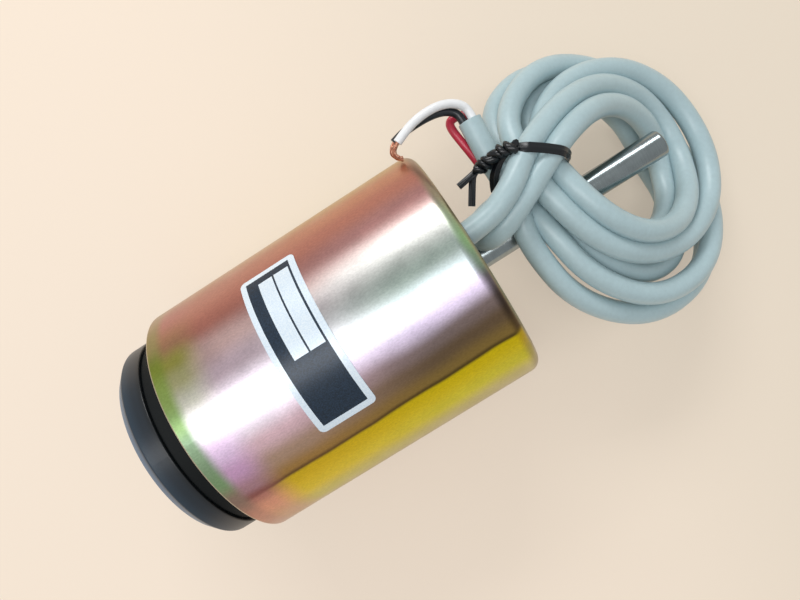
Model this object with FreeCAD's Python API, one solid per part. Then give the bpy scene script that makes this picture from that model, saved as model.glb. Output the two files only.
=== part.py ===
import FreeCAD, Part
import math
import os

# Tubular push solenoid lying on its side, in millimetres.
# The shaft runs along +X out of the front face, which is the plane X = 0.
# +Z is up, and the case rests on the plane Z = -case_radius.

# Drawn steel case
case_radius = 35.0
case_length = 86.0
case_wall = 2.0
front_wall = 2.5
front_round = 3.5
inner_round = 1.2
lip_thickness = 0.9
lip_width = 3.3
lip_round = 0.4
seat_clearance = 0.05

# Fixed pole with its flange and conical seat
spigot_radius = 13.0
spigot_height = 0.8
pole_flange = 12.0
pole_length = 28.0
cone_rim = 1.57
cone_half_angle = 30.0
edge_chamfer = 0.6
fine_chamfer = 0.4
pole_relief = 1.5

# Push rod, its bushes and the plunger
rod_radius = 4.0
rod_reach = 60.7
rod_round = 0.8
free_end_start = 40.0
free_end_taper = 0.6
free_end_relief = 0.02
running_clearance = 0.03
rod_passage = 0.4
bush_wall = 2.0
bush_length = 14.0
shim_thickness = 0.5
shim_width = 1.8
shim_rim = 0.3
sliding_clearance = 0.05
rest_gap = 0.3
rod_grip = 16.0
rod_fit = 0.01
pin_radius = 1.5
pin_wall = 0.35
pin_slit = 0.5
pin_setback = 3.5
pin_recess = 0.4

# Guide tube, bobbin and winding
tube_wall = 0.6
tube_clearance = 0.05
bobbin_clearance = 0.1
bobbin_wall = 1.6
bobbin_flange = 1.8
bobbin_gap = 1.0
notch_width = 6.0
notch_spread = 11.0
notch_inset = 3.0
winding_gap = 0.05
winding_depth = 12.05
winding_margin = 2.6
winding_round = 1.0
tape_thickness = 0.6
tape_margin = 1.2
tape_glue = 0.02

# Rear plate, held by the rolled lip of the case
rear_plate_thickness = 10.0
rear_bush_wall = 1.5
rear_bush_slit = 0.6
rear_bush_setback = 0.2

# Rear cap and the rubber ring in front of it
cushion_step = 5.3
cushion_thickness = 6.8
cushion_fit = 0.2
cushion_edge = 0.5
cap_step = 4.5
cap_thickness = 8.6
cap_chamfer_width = 2.6
cap_chamfer_length = 2.9
cap_edge_round = 0.7
cap_front_round = 0.3
screw_radius = 3.0
screw_length = 13.0
screw_fit = 0.05
screw_head_radius = 5.25
screw_head_height = 3.3
screw_head_rim = 1.0
screw_head_top = 3.0
screw_head_round = 0.8
screw_end_chamfer = 0.5
socket_width = 4.0
socket_depth = 2.2
washer_radius = 6.0
washer_thickness = 1.6
washer_clearance = 0.2
recess_clearance = 0.6
recess_depth = 5.4

# Fixing holes in the front face
bolt_shift = 2.0
bolt_count = 4
bolt_radius = 2.5
bolt_depth = 9.0
first_bolt_angle = 45.0

# Lead passage, grommet and splices
lead_shift = 1.8
lead_angle = 19.3
lead_straight = 6.5
cable_radius = 3.25
grommet_wall = 1.8
grommet_flange_width = 1.5
grommet_flange = 1.2
grommet_nose = 1.6
grommet_nose_taper = 0.8
grommet_fit = 0.05
cable_fit = 0.02
cable_inner_length = 3.0
core_radius = 1.2
pocket_depth = 5.0
pocket_width = 9.0
pocket_angle = 70.0
pocket_lead_in = 12.0
sleeve_radius = 1.7
sleeve_length = 11.0
sleeve_angle = 36.0
sleeve_spacing = 3.9
inner_core_radius = 0.9
inner_core_offset = 1.2
inner_core_gap = 0.6

# Rating label on the case
label_front = -39.7
label_width = 16.2
label_thickness = 0.2
label_start_angle = -26.0
label_end_angle = 50.0
label_corner = 1.5
label_glue = 0.05

# Route of the cable from the front face to the coil
lead_route = [
    (17.4, 11.8, 19.2),
    (26.4, 17.6, 14.0),
]

# Route of the cut end of the cable
tail_route = [
    (20.0, 11.4, 9.3),
    (16.7, 21.6, 10.6),
    (17.6, 32.4, 10.6),
]

# Coil of the cable: centre, then one station each 45 degrees from +X round by +Y.
# A station gives the inner and outer cable centres as (radius, height), and the depth.
coil_centre = (55.0, -2.0)
coil_section_points = 10
coil_stations = [
    ((9.0, -27.1), (27.0, -29.3), 12.2),
    ((12.5, -21.7), (31.3, -30.2), 12.0),
    ((17.5, -12.0), (35.5, -10.5), 13.0),
    ((24.0, 7.5), (44.0, 9.5), 13.5),
    ((22.0, 11.2), (38.0, 11.2), 12.6),
    ((20.5, 6.5), (43.5, 8.0), 12.0),
    ((15.0, -10.5), (36.0, -11.5), 13.0),
    ((10.5, -21.7), (31.8, -30.4), 12.0),
]

# Cores at the cut end of the cable: the red one is folded back along the jacket
white_route = [
    (18.4, 32.4, 12.1),
    (18.6, 34.7, 12.1),
    (17.9, 37.1, 12.8),
    (15.6, 39.3, 13.8),
    (12.0, 40.5, 14.8),
    (7.4, 40.6, 15.5),
    (2.4, 39.5, 16.0),
    (-1.9, 37.4, 16.0),
]
black_route = [
    (15.9, 32.6, 11.2),
    (16.1, 34.7, 11.2),
    (15.2, 37.0, 11.4),
    (12.9, 38.9, 11.9),
    (9.2, 39.9, 12.4),
    (4.6, 39.9, 13.0),
    (0.6, 39.4, 13.4),
    (-2.6, 38.3, 13.4),
]
red_route = [
    (18.7, 32.4, 9.2),
    (18.9, 34.5, 9.2),
    (17.2, 36.3, 8.4),
    (14.8, 36.4, 8.1),
    (13.0, 34.6, 8.4),
    (12.9, 30.6, 8.6),
    (13.0, 26.2, 8.1),
    (13.4, 22.0, 7.3),
]
strand_radius = 0.65
strand_run = 1.6
strand_ends = [
    (-4.2, 33.9, 14.4),
    (-4.4, 34.6, 12.4),
]

# Twist tie round the coil
tie_angle = 149.0
tie_width = 3.2
tie_thickness = 0.9
tie_slab = 90.0
tie_tail_radius = 1.0
tie_tail = [
    (23.5, 19.5, 17.0),
    (16.0, 19.6, 18.0),
    (10.0, 18.2, 17.4),
    (6.3, 19.0, 16.0),
]
tie_branch = [
    (10.0, 18.2, 17.4),
    (8.0, 15.2, 17.0),
    (7.3, 12.6, 15.6),
]

# Sizes and places that follow from the values above
case_inner_radius = case_radius - case_wall
seat_radius = case_inner_radius - seat_clearance
lip_inner_radius = case_radius - lip_width
bobbin_radius = case_inner_radius - bobbin_gap
winding_radius = bobbin_radius - winding_margin
bobbin_hub_radius = winding_radius - winding_depth - winding_gap
bobbin_bore = bobbin_hub_radius - bobbin_wall
tube_outer_radius = bobbin_bore - tube_clearance
tube_radius = tube_outer_radius - tube_wall
plunger_radius = tube_radius - sliding_clearance
cone_slope = math.tan(math.radians(cone_half_angle))
cone_mouth_radius = plunger_radius - cone_rim
cone_floor_radius = rod_radius + rod_passage + shim_width + shim_rim
cone_depth = (cone_mouth_radius - cone_floor_radius) / cone_slope
pole_front = -front_wall
flange_back = pole_front - pole_flange
pole_end = flange_back - pole_length
cone_floor = pole_end + cone_depth
bush_outer_radius = rod_radius + running_clearance + bush_wall
nose_front = cone_floor - shim_thickness - rest_gap
plunger_shoulder = nose_front - cone_depth
pin_x = plunger_shoulder - pin_setback
plate_back = -case_length + lip_thickness
plate_front = plate_back + rear_plate_thickness
bobbin_front = flange_back - bobbin_clearance
bobbin_back = plate_front + bobbin_clearance
cushion_front = plate_back - rest_gap
cushion_radius = case_radius - cushion_step
cap_radius = case_radius - cap_step
free_end_radius = rod_radius - free_end_relief
cap_front = cushion_front - cushion_thickness
cap_back = cap_front - cap_thickness
rod_back = plunger_shoulder - rod_grip
flange_middle_radius = (spigot_radius + case_inner_radius) / 2
bolt_circle_radius = flange_middle_radius + bolt_shift
lead_radius = flange_middle_radius - lead_shift
lead_y = lead_radius * math.sin(math.radians(lead_angle))
lead_z = lead_radius * math.cos(math.radians(lead_angle))
grommet_radius = cable_radius + cable_fit + grommet_wall
sleeve_x = flange_back + pocket_depth - sleeve_radius - seat_clearance

X_AXIS = FreeCAD.Vector(1, 0, 0)
Z_AXIS = FreeCAD.Vector(0, 0, 1)
ORIGIN = FreeCAD.Vector(0, 0, 0)
parts = {}


def unit(vector):
    """Return the vector at length 1."""
    return FreeCAD.Vector(vector) / vector.Length


def corner_arc(before, corner, after, radius):
    """Return the start, middle and end of the tangent arc that rounds a corner."""
    inward = unit(corner - before)
    outward = unit(after - corner)
    turn = inward.getAngle(outward)
    reach = radius * math.tan(turn / 2)
    rise = math.hypot(radius, reach) - radius
    middle = corner + unit(outward - inward) * rise
    return corner - inward * reach, middle, corner + outward * reach


def rounded_wire(corners, radii, closed):
    """Join the corners with straight runs, and round each corner that has a radius."""
    count = len(corners)
    stops = []
    for index, corner in enumerate(corners):
        is_end = not closed and index in (0, count - 1)
        if is_end or radii[index] == 0:
            stops.append((corner, None, corner))
            continue
        stops.append(corner_arc(corners[index - 1], corner, corners[(index + 1) % count], radii[index]))
    edges = []
    for index, (start, middle, end) in enumerate(stops):
        if middle is not None:
            edges.append(Part.Arc(start, middle, end).toShape())
        if index + 1 < count or closed:
            target = stops[(index + 1) % count][0]
            if (target - end).Length > 1e-6:
                edges.append(Part.LineSegment(end, target).toShape())
    return Part.Wire(edges)


def turned(corners, angle=360.0):
    """Turn an outline about the X axis. A corner is (x, radius) or (x, radius, rounding)."""
    points = [FreeCAD.Vector(corner[0], 0, corner[1]) for corner in corners]
    radii = [corner[2] if len(corner) > 2 else 0 for corner in corners]
    face = Part.Face(rounded_wire(points, radii, True))
    return face.revolve(ORIGIN, X_AXIS, angle)


def rod_between(start, length, radius, axis=X_AXIS):
    """Return a round bar from a start point."""
    return Part.makeCylinder(radius, length, FreeCAD.Vector(*start), axis)


def about_x(shape, angle):
    """Return the shape turned about the X axis, from +Z towards +Y for a positive angle."""
    turned_shape = shape.copy()
    turned_shape.rotate(ORIGIN, X_AXIS, -angle)
    return turned_shape


def bolt_holes():
    """Return the bores of the fixing holes."""
    step = 360.0 / bolt_count
    bar = rod_between((-bolt_depth, 0, bolt_circle_radius), 2 * bolt_depth, bolt_radius)
    return [about_x(bar, first_bolt_angle + step * index) for index in range(bolt_count)]


def make_case():
    """Drawn cup with a rolled lip at the back, pierced at the front."""
    hole = spigot_radius + seat_clearance
    shell = turned([
        (0, hole),
        (0, case_radius, front_round),
        (-case_length, case_radius, lip_round),
        (-case_length, lip_inner_radius, lip_round),
        (plate_back, lip_inner_radius),
        (plate_back, case_inner_radius),
        (-front_wall, case_inner_radius, inner_round),
        (-front_wall, hole),
    ])
    grommet_hole = rod_between(
        (-2 * front_wall, lead_y, lead_z), 3 * front_wall, grommet_radius + grommet_fit)
    return shell.cut([grommet_hole] + bolt_holes())


def make_pole():
    """Fixed pole: flange in the case, spigot through its front, conical seat at the back."""
    bore = rod_radius + rod_passage
    bush_seat = spigot_height - bush_length
    pole = turned([
        (spigot_height, bush_outer_radius),
        (spigot_height, spigot_radius - edge_chamfer),
        (spigot_height - edge_chamfer, spigot_radius),
        (pole_front, spigot_radius),
        (pole_front, seat_radius - pole_relief),
        (pole_front - pole_relief, seat_radius),
        (flange_back + edge_chamfer, seat_radius),
        (flange_back, seat_radius - edge_chamfer),
        (flange_back, plunger_radius),
        (pole_end, plunger_radius),
        (pole_end, cone_mouth_radius),
        (cone_floor, cone_floor_radius),
        (cone_floor, bore),
        (bush_seat, bore),
        (bush_seat, bush_outer_radius),
    ])
    flange_pocket = rod_between(
        (pole_front - grommet_flange - seat_clearance, lead_y, lead_z),
        2 * grommet_flange,
        grommet_radius + grommet_flange_width + grommet_fit)
    passage = rod_between(
        (2 * flange_back, lead_y, lead_z), -2 * flange_back, cable_radius + grommet_fit)
    pocket = turned([
        (flange_back - 1, lead_radius - pocket_width / 2),
        (flange_back - 1, lead_radius + pocket_width / 2),
        (flange_back + pocket_depth, lead_radius + pocket_width / 2),
        (flange_back + pocket_depth, lead_radius - pocket_width / 2),
    ], pocket_angle)
    pocket = about_x(pocket, lead_angle + pocket_angle - pocket_lead_in)
    return pole.cut([flange_pocket, passage, pocket] + bolt_holes())


def make_front_bush():
    """Bronze bush in the spigot, which guides the push rod."""
    back = spigot_height - bush_length
    return turned([
        (spigot_height, rod_radius + running_clearance),
        (spigot_height, bush_outer_radius - fine_chamfer),
        (spigot_height - fine_chamfer, bush_outer_radius),
        (back, bush_outer_radius),
        (back, rod_radius + running_clearance),
    ])


def make_stop_shim():
    """Brass washer on the floor of the conical seat, which keeps the faces apart."""
    return turned([
        (cone_floor, rod_radius + rod_passage),
        (cone_floor, cone_floor_radius - shim_rim),
        (cone_floor - shim_thickness, cone_floor_radius - shim_rim),
        (cone_floor - shim_thickness, rod_radius + rod_passage),
    ])


def make_guide_tube():
    """Thin brass tube over the pole, in which the plunger slides."""
    return turned([
        (flange_back, tube_radius),
        (flange_back, tube_outer_radius),
        (plate_front, tube_outer_radius),
        (plate_front, tube_radius),
    ])


def make_bobbin():
    """Moulded bobbin with two flanges, the front one notched for the wires."""
    spool = turned([
        (bobbin_front, bobbin_bore),
        (bobbin_front, bobbin_radius),
        (bobbin_front - bobbin_flange, bobbin_radius),
        (bobbin_front - bobbin_flange, bobbin_hub_radius),
        (bobbin_back + bobbin_flange, bobbin_hub_radius),
        (bobbin_back + bobbin_flange, bobbin_radius),
        (bobbin_back, bobbin_radius),
        (bobbin_back, bobbin_bore),
    ])
    notches = []
    for side in (-1, 1):
        notch = Part.makeBox(
            2 * bobbin_flange,
            notch_width,
            bobbin_radius - lead_radius,
            FreeCAD.Vector(bobbin_front - 1.5 * bobbin_flange, -notch_width / 2, lead_radius + notch_inset))
        notches.append(about_x(notch, lead_angle + sleeve_angle + side * notch_spread))
    return spool.cut(notches)


def make_winding():
    """Copper winding between the flanges of the bobbin."""
    front = bobbin_front - bobbin_flange - winding_gap
    back = bobbin_back + bobbin_flange + winding_gap
    inner = bobbin_hub_radius + winding_gap
    return turned([
        (front, inner),
        (front, winding_radius, winding_round),
        (back, winding_radius, winding_round),
        (back, inner),
    ])


def make_tape():
    """Tape wrapped over the winding."""
    front = bobbin_front - bobbin_flange - tape_margin
    back = bobbin_back + bobbin_flange + tape_margin
    inner = winding_radius + tape_glue
    return turned([
        (front, inner),
        (front, inner + tape_thickness),
        (back, inner + tape_thickness),
        (back, inner),
    ])


def make_rear_plate():
    """Steel ring that closes the magnetic path behind the winding."""
    bore = tube_radius + rear_bush_wall + seat_clearance
    return turned([
        (plate_front, bore),
        (plate_front, seat_radius - edge_chamfer),
        (plate_front - edge_chamfer, seat_radius),
        (plate_back + edge_chamfer, seat_radius),
        (plate_back, seat_radius - edge_chamfer),
        (plate_back, bore),
    ])


def make_rear_bush():
    """Thin split bush in the rear plate, which guides the plunger."""
    outer = tube_radius + rear_bush_wall
    ring = turned([
        (plate_front - rear_bush_setback, tube_radius),
        (plate_front - rear_bush_setback, outer),
        (plate_back, outer),
        (plate_back, tube_radius),
    ])
    slit = Part.makeBox(
        rear_plate_thickness + 2, rear_bush_slit, rear_bush_wall + 2,
        FreeCAD.Vector(plate_back - 1, -rear_bush_slit / 2, -outer - 1))
    return ring.cut(slit)


def make_grommet():
    """Rubber bush that holds the cable in the front wall of the case."""
    bore = cable_radius + cable_fit
    nose = grommet_radius - grommet_nose_taper
    ring = turned([
        (grommet_nose, bore),
        (grommet_nose, nose, fine_chamfer),
        (0, grommet_radius),
        (pole_front, grommet_radius),
        (pole_front, grommet_radius + grommet_flange_width),
        (pole_front - grommet_flange, grommet_radius + grommet_flange_width),
        (pole_front - grommet_flange, bore),
    ])
    ring.translate(FreeCAD.Vector(0, lead_y, lead_z))
    return ring


def make_label():
    """Thin label bent round the case."""
    inner = case_radius + label_glue
    strip = turned([
        (label_front, inner),
        (label_front, inner + label_thickness),
        (label_front - label_width, inner + label_thickness),
        (label_front - label_width, inner),
    ], label_end_angle - label_start_angle)
    strip = about_x(strip, label_end_angle)
    corners = [edge for edge in strip.Edges if abs(edge.Length - label_thickness) < 0.01]
    return strip.makeFillet(label_corner, corners)


def make_plunger():
    """Steel plunger with a conical nose, bored for the rod, the pin and the cap's screw."""
    bore = rod_radius + rod_fit
    plunger = turned([
        (nose_front, 0),
        (nose_front, cone_floor_radius),
        (plunger_shoulder, cone_mouth_radius),
        (plunger_shoulder, plunger_radius - edge_chamfer),
        (plunger_shoulder - edge_chamfer, plunger_radius),
        (cap_front + edge_chamfer, plunger_radius),
        (cap_front, plunger_radius - edge_chamfer),
        (cap_front, 0),
    ])
    rod_hole = rod_between((rod_back - 1, 0, 0), nose_front - rod_back + 2, bore)
    pin_hole = rod_between((pin_x, 0, -2 * plunger_radius), 4 * plunger_radius, pin_radius + rod_fit, Z_AXIS)
    screw_hole = rod_between((cap_front - 1, 0, 0), screw_length + 2, screw_radius + screw_fit)
    return plunger.cut([rod_hole, pin_hole, screw_hole])


def make_rod():
    """Ground steel push rod, a little thinner at its free end, with a rounded tip."""
    rod = turned([
        (rod_back, 0),
        (rod_back, rod_radius - fine_chamfer),
        (rod_back + fine_chamfer, rod_radius),
        (free_end_start, rod_radius),
        (free_end_start + free_end_taper, free_end_radius),
        (rod_reach, free_end_radius, rod_round),
        (rod_reach, 0),
    ])
    hole = rod_between((pin_x, 0, -2 * rod_radius), 4 * rod_radius, pin_radius + rod_fit, Z_AXIS)
    return rod.cut(hole)


def make_rod_pin():
    """Slotted spring pin that locks the rod in the plunger."""
    length = 2 * (plunger_radius - pin_recess)
    start = (pin_x, 0, -length / 2)
    tube = rod_between(start, length, pin_radius, Z_AXIS)
    bore = rod_between(start, length, pin_radius - pin_wall, Z_AXIS)
    slit = Part.makeBox(
        2 * pin_radius, pin_slit, length,
        FreeCAD.Vector(pin_x, -pin_slit / 2, -length / 2))
    return tube.cut([bore, slit])


def make_cushion():
    """Rubber ring that softens the stop against the rear plate."""
    bore = plunger_radius + cushion_fit
    return turned([
        (cushion_front, bore),
        (cushion_front, cushion_radius, cushion_edge),
        (cap_front, cushion_radius, cushion_edge),
        (cap_front, bore),
    ])


def make_cap():
    """Rear cap with a broad chamfer and a recess for its screw."""
    recess_floor = cap_back + recess_depth
    recess = washer_radius + recess_clearance
    return turned([
        (cap_front, screw_radius + recess_clearance),
        (cap_front, cap_radius, cap_front_round),
        (cap_back + cap_chamfer_length, cap_radius, cap_edge_round),
        (cap_back, cap_radius - cap_chamfer_width, cap_edge_round),
        (cap_back, recess, fine_chamfer),
        (recess_floor, recess),
        (recess_floor, screw_radius + recess_clearance),
    ])


def make_cap_washer():
    """Flat washer under the head of the cap's screw."""
    seat = cap_back + recess_depth
    return turned([
        (seat, screw_radius + washer_clearance),
        (seat, washer_radius),
        (seat - washer_thickness, washer_radius),
        (seat - washer_thickness, screw_radius + washer_clearance),
    ])


def make_cap_screw():
    """Button head screw that holds the cap on the plunger."""
    seat = cap_back + recess_depth - washer_thickness
    head_top = seat - screw_head_height
    screw = turned([
        (cap_front + screw_length, 0),
        (cap_front + screw_length, screw_radius - screw_end_chamfer),
        (cap_front + screw_length - screw_end_chamfer, screw_radius),
        (seat, screw_radius),
        (seat, screw_head_radius),
        (seat - screw_head_rim, screw_head_radius, screw_head_round),
        (head_top, screw_head_top, screw_head_round),
        (head_top, 0),
    ])
    corners = []
    for index in range(7):
        angle = math.radians(60 * index)
        reach = socket_width / math.sqrt(3)
        corners.append(FreeCAD.Vector(head_top, reach * math.cos(angle), reach * math.sin(angle)))
    socket = Part.Face(Part.makePolygon(corners)).extrude(FreeCAD.Vector(socket_depth, 0, 0))
    return screw.cut(socket)


def tube_along(name, route, radius):
    """Return a plain round tube along straight runs that are joined by large tangent arcs."""
    points = [FreeCAD.Vector(*point) for point in route]
    runs = [(after - before).Length for before, after in zip(points, points[1:])]
    radii = [0]
    for index in range(1, len(points) - 1):
        inward = unit(points[index] - points[index - 1])
        outward = unit(points[index + 1] - points[index])
        turn = inward.getAngle(outward)
        shorter = min(runs[index - 1], runs[index])
        radii.append(0.45 * shorter / math.tan(turn / 2))
    radii.append(0)
    path = rounded_wire(points, radii, False)
    start = points[0]
    profile = Part.Wire(Part.makeCircle(radius, start, unit(points[1] - start)))
    tube = path.makePipeShell([profile], True, True)
    expected = math.pi * radius ** 2 * path.Length
    bends = ", ".join("%.1f" % value for value in radii[1:-1])
    print("%s: length %.1f, bend radii %s, volume %.4f of section times length"
          % (name, path.Length, bends, tube.Volume / expected))
    return tube


def coil_section(index, grown):
    """Return points round the oval section of the coil at one station."""
    (inner_radius, inner_height), (outer_radius, outer_height), depth = coil_stations[index]
    angle = 2 * math.pi * index / len(coil_stations)
    outward = FreeCAD.Vector(math.cos(angle), math.sin(angle), 0)
    across = outward * (outer_radius - inner_radius) + Z_AXIS * (outer_height - inner_height)
    middle = FreeCAD.Vector(coil_centre[0], coil_centre[1], 0)
    middle += outward * (outer_radius + inner_radius) / 2
    middle += Z_AXIS * (outer_height + inner_height) / 2
    half_width = across.Length / 2 + cable_radius + grown
    half_depth = depth / 2 + grown
    wide = unit(across) * half_width
    deep = unit(Z_AXIS.cross(outward).cross(across)) * half_depth
    turns = [2 * math.pi * step / coil_section_points for step in range(coil_section_points)]
    return [middle + wide * math.cos(turn) + deep * math.sin(turn) for turn in turns]


def spline_poles(points):
    """Return the poles of a closed cubic spline that passes through the points."""
    poles = list(points)
    for _ in range(40):
        smooth = []
        for index, pole in enumerate(poles):
            beside = poles[index - 1] + poles[(index + 1) % len(poles)]
            smooth.append((beside + pole * 4) / 6)
        poles = [pole + (point - mean) for pole, point, mean in zip(poles, points, smooth)]
    return poles


def make_coil(grown=0.0):
    """Closed ring with the outer shape of the loose turns."""
    sections = [spline_poles(coil_section(index, grown)) for index in range(len(coil_stations))]
    columns = [spline_poles(column) for column in zip(*sections)]
    rows = [list(row) for row in zip(*columns)]
    surface = Part.BSplineSurface()
    surface.buildFromPolesMultsKnots(
        rows,
        [1] * (len(rows) + 1), [1] * (len(columns) + 1),
        list(range(len(rows) + 1)), list(range(len(columns) + 1)),
        True, True, 3, 3)
    ring = Part.Solid(Part.Shell([surface.toShape()]))
    if ring.Volume < 0:
        ring.reverse()
    return ring


def make_tie(coil, lead, tail):
    """Wire tie drawn round the coil, with its twisted end."""
    band_slab = Part.makeBox(
        tie_slab, tie_width, tie_slab, FreeCAD.Vector(0, -tie_width / 2, -tie_slab / 2))
    band_slab.rotate(ORIGIN, Z_AXIS, tie_angle)
    band_slab.translate(FreeCAD.Vector(coil_centre[0], coil_centre[1], 0))
    band = make_coil(tie_thickness).common(band_slab)
    tail_tube = tube_along("tie tail", tie_tail, tie_tail_radius)
    branch = tube_along("tie branch", tie_branch, tie_tail_radius)
    return band.fuse([tail_tube, branch]).cut([coil, lead, tail])


def make_sleeves():
    """Two shrink sleeves over the joints between the cores and the winding."""
    sleeves = []
    for side in (-0.5, 0.5):
        bar = Part.makeCylinder(
            sleeve_radius, sleeve_length,
            FreeCAD.Vector(sleeve_x, -sleeve_length / 2, lead_radius + side * sleeve_spacing),
            FreeCAD.Vector(0, 1, 0))
        sleeves.append(about_x(bar, lead_angle + sleeve_angle))
    return Part.makeCompound(sleeves)


def make_lead():
    """Cable from the pole's flange through the grommet to the coil."""
    start = (pole_front - cable_inner_length, lead_y, lead_z)
    outside = (lead_straight, lead_y, lead_z)
    return tube_along("lead", [start, outside] + lead_route, cable_radius)


def make_strands():
    """Bare strands at the ends of the white and the black core."""
    strands = []
    for route, end in zip((white_route, black_route), strand_ends):
        before = FreeCAD.Vector(*route[-2])
        start = FreeCAD.Vector(*route[-1])
        corner = start + unit(start - before) * strand_run
        strands.append(tube_along("strands", [start, corner, end], strand_radius))
    return Part.makeCompound(strands)


def make_inner_cores():
    """Two cores from the end of the jacket, inside the flange, to their splices."""
    cores = []
    for side in (-1, 1):
        start = FreeCAD.Vector(
            pole_front - cable_inner_length, 0, lead_radius + side * inner_core_offset)
        corner = FreeCAD.Vector(sleeve_x, 0, start.z)
        end = FreeCAD.Vector(
            sleeve_x,
            -sleeve_length / 2 - inner_core_gap,
            lead_radius + side * sleeve_spacing / 2)
        near_turn = FreeCAD.Rotation(X_AXIS, -lead_angle)
        far_turn = FreeCAD.Rotation(X_AXIS, -lead_angle - sleeve_angle)
        route = [near_turn.multVec(start), near_turn.multVec(corner), far_turn.multVec(end)]
        cores.append(tube_along("inner core", route, inner_core_radius))
    return Part.makeCompound(cores)


parts["case_can"] = make_case()
parts["front_pole"] = make_pole()
parts["front_bush"] = make_front_bush()
parts["stop_shim"] = make_stop_shim()
parts["guide_tube"] = make_guide_tube()
parts["bobbin"] = make_bobbin()
parts["winding"] = make_winding()
parts["winding_tape"] = make_tape()
parts["rear_plate"] = make_rear_plate()
parts["rear_bush"] = make_rear_bush()
parts["lead_grommet"] = make_grommet()
parts["splice_sleeves"] = make_sleeves()
parts["inner_cores"] = make_inner_cores()
parts["rating_label"] = make_label()
parts["plunger"] = make_plunger()
parts["push_rod"] = make_rod()
parts["rod_pin"] = make_rod_pin()
parts["cushion_ring"] = make_cushion()
parts["rear_cap"] = make_cap()
parts["cap_washer"] = make_cap_washer()
parts["cap_screw"] = make_cap_screw()
parts["cable_lead"] = make_lead()
parts["cable_coil"] = make_coil()
parts["cable_tail"] = tube_along("tail", tail_route, cable_radius)
parts["core_white"] = tube_along("white core", white_route, core_radius)
parts["core_black"] = tube_along("black core", black_route, core_radius)
parts["core_red"] = tube_along("red core", red_route, core_radius)
parts["bare_strands"] = make_strands()
parts["twist_tie"] = make_tie(parts["cable_coil"], parts["cable_lead"], parts["cable_tail"])

os.makedirs("parts", exist_ok=True)
for name, shape in parts.items():
    box = shape.BoundBox
    print("%-15s valid %s solids %d volume %9.1f x %.1f..%.1f y %.1f..%.1f z %.1f..%.1f" % (
        name, shape.isValid(), len(shape.Solids), shape.Volume,
        box.XMin, box.XMax, box.YMin, box.YMax, box.ZMin, box.ZMax))
    shape.exportStep("parts/%s.step" % name)
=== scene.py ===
# %% [markdown]
# A tubular push pull solenoid lies on its side on a pale table.
# Its plated case, plunger cap, push rod, cable and rating label are all in view.
# The solid model already gives the place and size of every part.
# This lesson dresses those parts: the soft cable becomes one smooth curve, the fine wires and
# the wire tie become meshes, and every surface gets the finish that the real part has.

# %% Load the solid model
import bpy
import math
import numpy as np
from mathutils import Matrix, Vector


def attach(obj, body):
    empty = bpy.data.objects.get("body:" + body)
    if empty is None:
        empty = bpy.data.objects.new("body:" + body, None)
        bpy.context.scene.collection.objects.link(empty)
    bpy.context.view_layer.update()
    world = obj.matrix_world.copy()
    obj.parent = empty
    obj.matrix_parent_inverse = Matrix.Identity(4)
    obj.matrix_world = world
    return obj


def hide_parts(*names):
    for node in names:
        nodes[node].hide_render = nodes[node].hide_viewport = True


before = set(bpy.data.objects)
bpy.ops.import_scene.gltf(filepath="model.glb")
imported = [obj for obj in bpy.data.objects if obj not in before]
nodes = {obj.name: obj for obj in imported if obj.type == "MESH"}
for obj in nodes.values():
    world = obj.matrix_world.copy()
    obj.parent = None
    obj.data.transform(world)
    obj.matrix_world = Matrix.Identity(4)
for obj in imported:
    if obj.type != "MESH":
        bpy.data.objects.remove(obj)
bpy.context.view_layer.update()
MM = 0.001
print("solid parts:", len(nodes))

# %% [markdown]
# Every piece is an object that holds some data, such as a mesh, a curve or a lens.
# The lesson makes many of them in the same way, so a helper does it.

# %% Helper for objects
def make_object(name, data):
    """Put a new object that holds this data in the scene."""
    made = bpy.data.objects.new(name, data)
    bpy.context.collection.objects.link(made)
    return made


print("object helper ready")

# %% [markdown]
# The camera stands almost straight above the object.
# Its place and its directions were found by fitting the case's outline in the photograph.
# A camera that is only aimed at a point can still roll, so the view comes from one matrix that
# has the three directions as its columns.

# %% Make the camera
PICTURE_WIDTH = 800
FOCAL_PIXELS = 664.0
SENSOR_WIDTH = 36.0
CAMERA_PLACE = Vector((-9.767, 5.520, 191.040)) * MM
PICTURE_RIGHT = Vector((0.84357, -0.53425, -0.05443)).normalized()
VIEW_DIRECTION = Vector((-0.07732, -0.02053, -0.99680)).normalized()

picture_up = PICTURE_RIGHT.cross(VIEW_DIRECTION).normalized()
lens = bpy.data.cameras.new("camera")
lens.sensor_width = SENSOR_WIDTH
lens.lens = SENSOR_WIDTH * FOCAL_PIXELS / PICTURE_WIDTH
lens.clip_start = 0.005
lens.clip_end = 20.0
camera = make_object("camera", lens)
turn = Matrix((PICTURE_RIGHT, picture_up, -VIEW_DIRECTION)).transposed().to_4x4()
camera.matrix_world = Matrix.Translation(CAMERA_PLACE) @ turn
bpy.context.scene.camera = camera
print("lens in mm:", round(lens.lens, 2))

# %% [markdown]
# Small helpers serve all the finishes.
# The first turns a colour as a web page writes it into the linear numbers that a shader needs.
# The second adds one node with its settings, values and links.
# The others start a material, fill a colour ramp, shade a colour by a pattern, colour a surface
# with a fine relief, and give solid parts their finish.
# Every pattern reads the place on the object itself, so it stays put when the object moves.

# %% Helpers for materials
def linear(web_colour):
    """Return a web colour as linear red, green, blue and alpha."""
    channels = [int(web_colour[index:index + 2], 16) / 255 for index in (1, 3, 5)]
    return [c / 12.92 if c <= 0.04045 else ((c + 0.055) / 1.055) ** 2.4 for c in channels] + [1.0]


def add(tree, kind, values=None, links=None, **settings):
    """Add a node: settings on the node, values on its sockets, links from other sockets."""
    node = tree.nodes.new(kind)
    for name, setting in settings.items():
        setattr(node, name, setting)
    for socket, value in (values or {}).items():
        node.inputs[socket].default_value = value
    for socket, source in (links or {}).items():
        tree.links.new(source, node.inputs[socket])
    return node


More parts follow.
